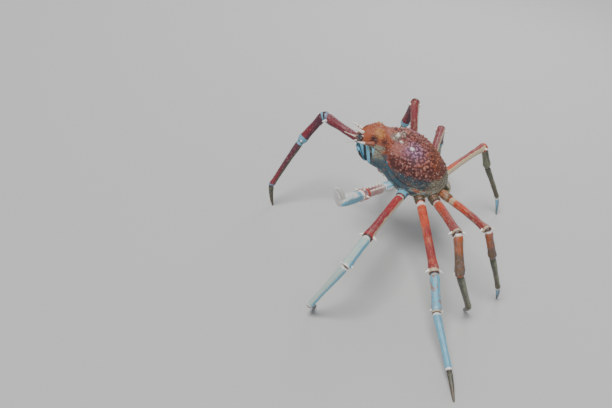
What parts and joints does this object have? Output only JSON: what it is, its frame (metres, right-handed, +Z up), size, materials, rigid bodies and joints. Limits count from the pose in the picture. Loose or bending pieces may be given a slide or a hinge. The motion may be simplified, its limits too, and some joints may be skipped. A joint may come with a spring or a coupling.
{
  "type": "japanese spider crab model",
  "caption": "Still life-size Japanese spider crab standing on the floor, with a domed warty shell, long bent walking legs and slender claws.",
  "frame": {"origin": "on the floor, under the middle of the bounding box", "axes": "+X to the crab's left, +Y to its rear, +Z up; the crab faces -Y"},
  "size_m": [1.0738, 0.6799, 0.3574],
  "materials": {
    "carapace": "rough, orange-brown with pink and pale specks",
    "underbody": "rough, cream with grey-blue grains",
    "abdomen": "rough, cream with grey-blue grains",
    "left_eye": "glossy black",
    "left_antenna": "satin, pale",
    "left_maxilliped": "rough, cream with grey-blue grains",
    "left_claw_base": "satin, orange-red above and cream below",
    "left_claw_merus": "satin, orange-red above and cream below",
    "left_claw_carpus": "satin, orange-red above and cream below",
    "left_claw_palm": "satin, pinkish white",
    "left_claw_finger": "satin, pinkish white",
    "left_leg_1_base": "satin, orange-red above and cream below",
    "left_leg_1_merus": "satin, orange-red above and cream below",
    "left_leg_1_carpus": "satin, orange-red above and cream below",
    "left_leg_1_propodus": "satin, cream mottled with orange, dark at the tip",
    "left_leg_1_dactyl": "satin, cream mottled with orange, dark at the tip",
    "left_leg_2_base": "satin, orange-red above and cream below",
    "left_leg_2_merus": "satin, orange-red above and cream below",
    "left_leg_2_carpus": "satin, orange-red above and cream below",
    "left_leg_2_propodus": "satin, cream mottled with orange, dark at the tip",
    "left_leg_2_dactyl": "satin, cream mottled with orange, dark at the tip",
    "left_leg_3_base": "satin, orange-red above and cream below",
    "left_leg_3_merus": "satin, orange-red above and cream below",
    "left_leg_3_carpus": "satin, orange-red above and cream below",
    "left_leg_3_propodus": "satin, cream mottled with orange, dark at the tip",
    "left_leg_3_dactyl": "satin, cream mottled with orange, dark at the tip",
    "left_leg_4_base": "satin, orange-red above and cream below",
    "left_leg_4_merus": "satin, orange-red above and cream below",
    "left_leg_4_carpus": "satin, orange-red above and cream below",
    "left_leg_4_propodus": "satin, cream mottled with orange, dark at the tip",
    "left_leg_4_dactyl": "satin, cream mottled with orange, dark at the tip",
    "right_eye": "glossy black",
    "right_antenna": "satin, pale",
    "right_maxilliped": "rough, cream with grey-blue grains",
    "right_claw_base": "satin, orange-red above and cream below",
    "right_claw_merus": "satin, orange-red above and cream below",
    "right_claw_carpus": "satin, orange-red above and cream below",
    "right_claw_palm": "satin, pinkish white",
    "right_claw_finger": "satin, pinkish white",
    "right_leg_1_base": "satin, orange-red above and cream below",
    "right_leg_1_merus": "satin, orange-red above and cream below",
    "right_leg_1_carpus": "satin, orange-red above and cream below",
    "right_leg_1_propodus": "satin, cream mottled with orange, dark at the tip",
    "right_leg_1_dactyl": "satin, cream mottled with orange, dark at the tip",
    "right_leg_2_base": "satin, orange-red above and cream below",
    "right_leg_2_merus": "satin, orange-red above and cream below",
    "right_leg_2_carpus": "satin, orange-red above and cream below",
    "right_leg_2_propodus": "satin, cream mottled with orange, dark at the tip",
    "right_leg_2_dactyl": "satin, cream mottled with orange, dark at the tip",
    "right_leg_3_base": "satin, orange-red above and cream below",
    "right_leg_3_merus": "satin, orange-red above and cream below",
    "right_leg_3_carpus": "satin, orange-red above and cream below",
    "right_leg_3_propodus": "satin, cream mottled with orange, dark at the tip",
    "right_leg_3_dactyl": "satin, cream mottled with orange, dark at the tip",
    "right_leg_4_base": "satin, orange-red above and cream below",
    "right_leg_4_merus": "satin, orange-red above and cream below",
    "right_leg_4_carpus": "satin, orange-red above and cream below",
    "right_leg_4_propodus": "satin, cream mottled with orange, dark at the tip",
    "right_leg_4_dactyl": "satin, cream mottled with orange, dark at the tip"
  },
  "bodies": {
    "root": {"carapace": "carapace", "underbody": "underbody", "abdomen": "abdomen", "left_eye": "left_eye", "left_antenna": "left_antenna", "left_maxilliped": "left_maxilliped", "left_claw_base": "left_claw_base", "left_claw_merus": "left_claw_merus", "left_claw_carpus": "left_claw_carpus", "left_claw_palm": "left_claw_palm", "left_claw_finger": "left_claw_finger", "left_leg_1_base": "left_leg_1_base", "left_leg_1_merus": "left_leg_1_merus", "left_leg_1_carpus": "left_leg_1_carpus", "left_leg_1_propodus": "left_leg_1_propodus", "left_leg_1_dactyl": "left_leg_1_dactyl", "left_leg_2_base": "left_leg_2_base", "left_leg_2_merus": "left_leg_2_merus", "left_leg_2_carpus": "left_leg_2_carpus", "left_leg_2_propodus": "left_leg_2_propodus", "left_leg_2_dactyl": "left_leg_2_dactyl", "left_leg_3_base": "left_leg_3_base", "left_leg_3_merus": "left_leg_3_merus", "left_leg_3_carpus": "left_leg_3_carpus", "left_leg_3_propodus": "left_leg_3_propodus", "left_leg_3_dactyl": "left_leg_3_dactyl", "left_leg_4_base": "left_leg_4_base", "left_leg_4_merus": "left_leg_4_merus", "left_leg_4_carpus": "left_leg_4_carpus", "left_leg_4_propodus": "left_leg_4_propodus", "left_leg_4_dactyl": "left_leg_4_dactyl", "right_eye": "right_eye", "right_antenna": "right_antenna", "right_maxilliped": "right_maxilliped", "right_claw_base": "right_claw_base", "right_claw_merus": "right_claw_merus", "right_claw_carpus": "right_claw_carpus", "right_claw_palm": "right_claw_palm", "right_claw_finger": "right_claw_finger", "right_leg_1_base": "right_leg_1_base", "right_leg_1_merus": "right_leg_1_merus", "right_leg_1_carpus": "right_leg_1_carpus", "right_leg_1_propodus": "right_leg_1_propodus", "right_leg_1_dactyl": "right_leg_1_dactyl", "right_leg_2_base": "right_leg_2_base", "right_leg_2_merus": "right_leg_2_merus", "right_leg_2_carpus": "right_leg_2_carpus", "right_leg_2_propodus": "right_leg_2_propodus", "right_leg_2_dactyl": "right_leg_2_dactyl", "right_leg_3_base": "right_leg_3_base", "right_leg_3_merus": "right_leg_3_merus", "right_leg_3_carpus": "right_leg_3_carpus", "right_leg_3_propodus": "right_leg_3_propodus", "right_leg_3_dactyl": "right_leg_3_dactyl", "right_leg_4_base": "right_leg_4_base", "right_leg_4_merus": "right_leg_4_merus", "right_leg_4_carpus": "right_leg_4_carpus", "right_leg_4_propodus": "right_leg_4_propodus", "right_leg_4_dactyl": "right_leg_4_dactyl"}
  },
  "joints": []
}
